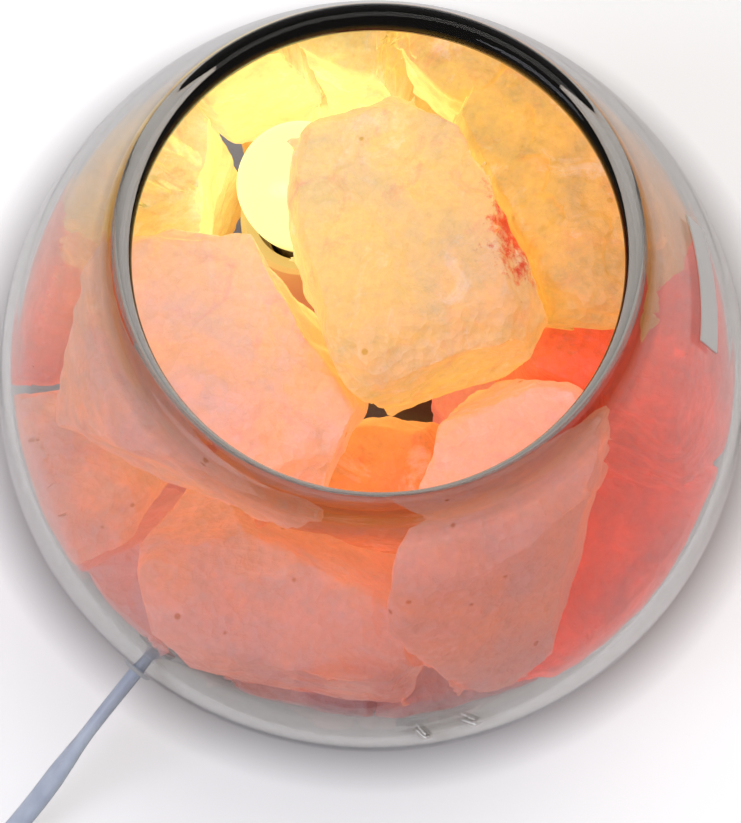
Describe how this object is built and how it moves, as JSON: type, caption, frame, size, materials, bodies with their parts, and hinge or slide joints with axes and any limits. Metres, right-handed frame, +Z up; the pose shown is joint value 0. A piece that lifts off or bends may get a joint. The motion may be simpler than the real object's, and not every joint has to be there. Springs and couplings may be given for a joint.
{
  "type": "salt crystal lamp",
  "caption": "Round blown-glass bowl with a drawn-in open mouth, heaped with rough lit salt chunks, with a pale flex leaving its side to a switch, a coil and a plug.",
  "frame": {"origin": "middle of the bowl's foot, on the surface that it stands on", "axes": "+Z up out of the bowl's mouth; -Y towards the side that the picture was taken from; +X to that viewer's right"},
  "size_m": [0.1765, 0.3284, 0.155],
  "materials": {
    "bowl_glass": "clear blown glass with a faint smoke-grey tint and a fire-polished lip",
    "salt_pink": "rough cleaved rock salt, pale pink, cloudy",
    "salt_amber": "rough cleaved rock salt, amber, lit from close by",
    "salt_red": "rough cleaved rock salt, red-orange",
    "grommet_rubber": "matt grey rubber",
    "label_film": "blank clear adhesive film",
    "stand_enamel": "white stoved enamel",
    "white_plastic": "moulded white plastic, satin",
    "holder_plastic": "moulded white thermoset, satin",
    "holder_insert_white": "cream moulded insert",
    "brass": "plain brass",
    "zinc_steel": "zinc plated, bright",
    "nickel_plate": "nickel plated brass",
    "cord_vinyl": "pale translucent grey-white flex, satin",
    "core_insulation": "thin single-core insulation",
    "bulb_cap_metal": "rolled thin metal",
    "bulb_insulator_black": "black glass-like insulator",
    "bulb_glass": "thin bulb glass, lit",
    "tungsten": "drawn wire, lit"
  },
  "bodies": {
    "lamp": {"glass_bowl": "bowl_glass", "cord_grommet": "grommet_rubber", "blank_label": "label_film", "stand_pad": "grommet_rubber", "lamp_stand": "stand_enamel", "stand_bush": "white_plastic", "threaded_nipple": "brass", "lock_nut": "brass", "holder_cap": "holder_plastic", "holder_sleeve": "holder_plastic", "holder_insert": "holder_insert_white", "thread_shell": "brass", "centre_contact": "brass", "terminal_screws": "zinc_steel", "inner_lead": "cord_vinyl", "lead_cores": "core_insulation", "cord_lead": "cord_vinyl", "cord_link": "cord_vinyl", "cord_coil": "cord_vinyl", "cord_tail": "cord_vinyl", "switch_base": "white_plastic", "switch_cover": "white_plastic", "switch_contacts": "brass", "switch_screws": "zinc_steel", "plug_body": "white_plastic", "plug_pins": "nickel_plate", "salt_left_top": "salt_pink", "salt_front_right_top": "salt_pink", "salt_right_top": "salt_amber", "salt_back_left_top": "salt_amber", "salt_left_back_top": "salt_amber", "salt_back_top": "salt_amber", "salt_back_right_top": "salt_amber", "salt_right_mid": "salt_red", "salt_front_gap": "salt_pink", "salt_front_mid": "salt_pink", "salt_left_mid": "salt_pink", "salt_left_front_low": "salt_pink", "salt_front_low_left": "salt_pink", "salt_front_low_right": "salt_pink", "salt_right_front_mid": "salt_red", "salt_right_low": "salt_red", "salt_far_left": "salt_red", "salt_left_back_mid": "salt_pink", "salt_back_mid": "salt_amber", "salt_right_back_mid": "salt_red", "salt_right_side": "salt_red", "salt_floor_left": "salt_pink", "salt_floor_back": "salt_amber", "salt_floor_right": "salt_red", "salt_floor_front": "salt_pink", "salt_floor_back_left": "salt_amber"},
    "keystone": {"salt_keystone": "salt_pink"},
    "bulb_lift": {"bulb_contact": "zinc_steel"},
    "bulb": {"bulb_cap": "bulb_cap_metal", "bulb_insulator": "bulb_insulator_black", "bulb_envelope": "bulb_glass", "bulb_stem": "bulb_glass", "filament": "tungsten"},
    "rocker": {"switch_rocker": "white_plastic"}
  },
  "joints": [
    {"name": "keystone_lift", "type": "slide", "parent": "lamp", "child": "keystone", "axis": [0, 0, 1], "range_m": [0, 0.06]},
    {"name": "bulb_rise", "type": "slide", "parent": "lamp", "child": "bulb_lift", "axis": [0, 0, 1], "range_m": [0, 0.0085]},
    {"name": "bulb_unscrew", "type": "hinge", "parent": "bulb_lift", "child": "bulb", "pos_m": [-0.018, 0.0325, 0.086], "axis": [0, 0, 1], "range_deg": [0, 1080]},
    {"name": "rocker_tilt", "type": "hinge", "parent": "lamp", "child": "rocker", "pos_m": [-0.068, -0.16832, 0.01], "axis": [-0.866, -0.5, 0], "range_deg": [0, 18]}
  ],
  "couplings": [
    {"joint": "bulb_rise", "follows": "bulb_unscrew", "m_per_rad": 0.00044914}
  ]
}
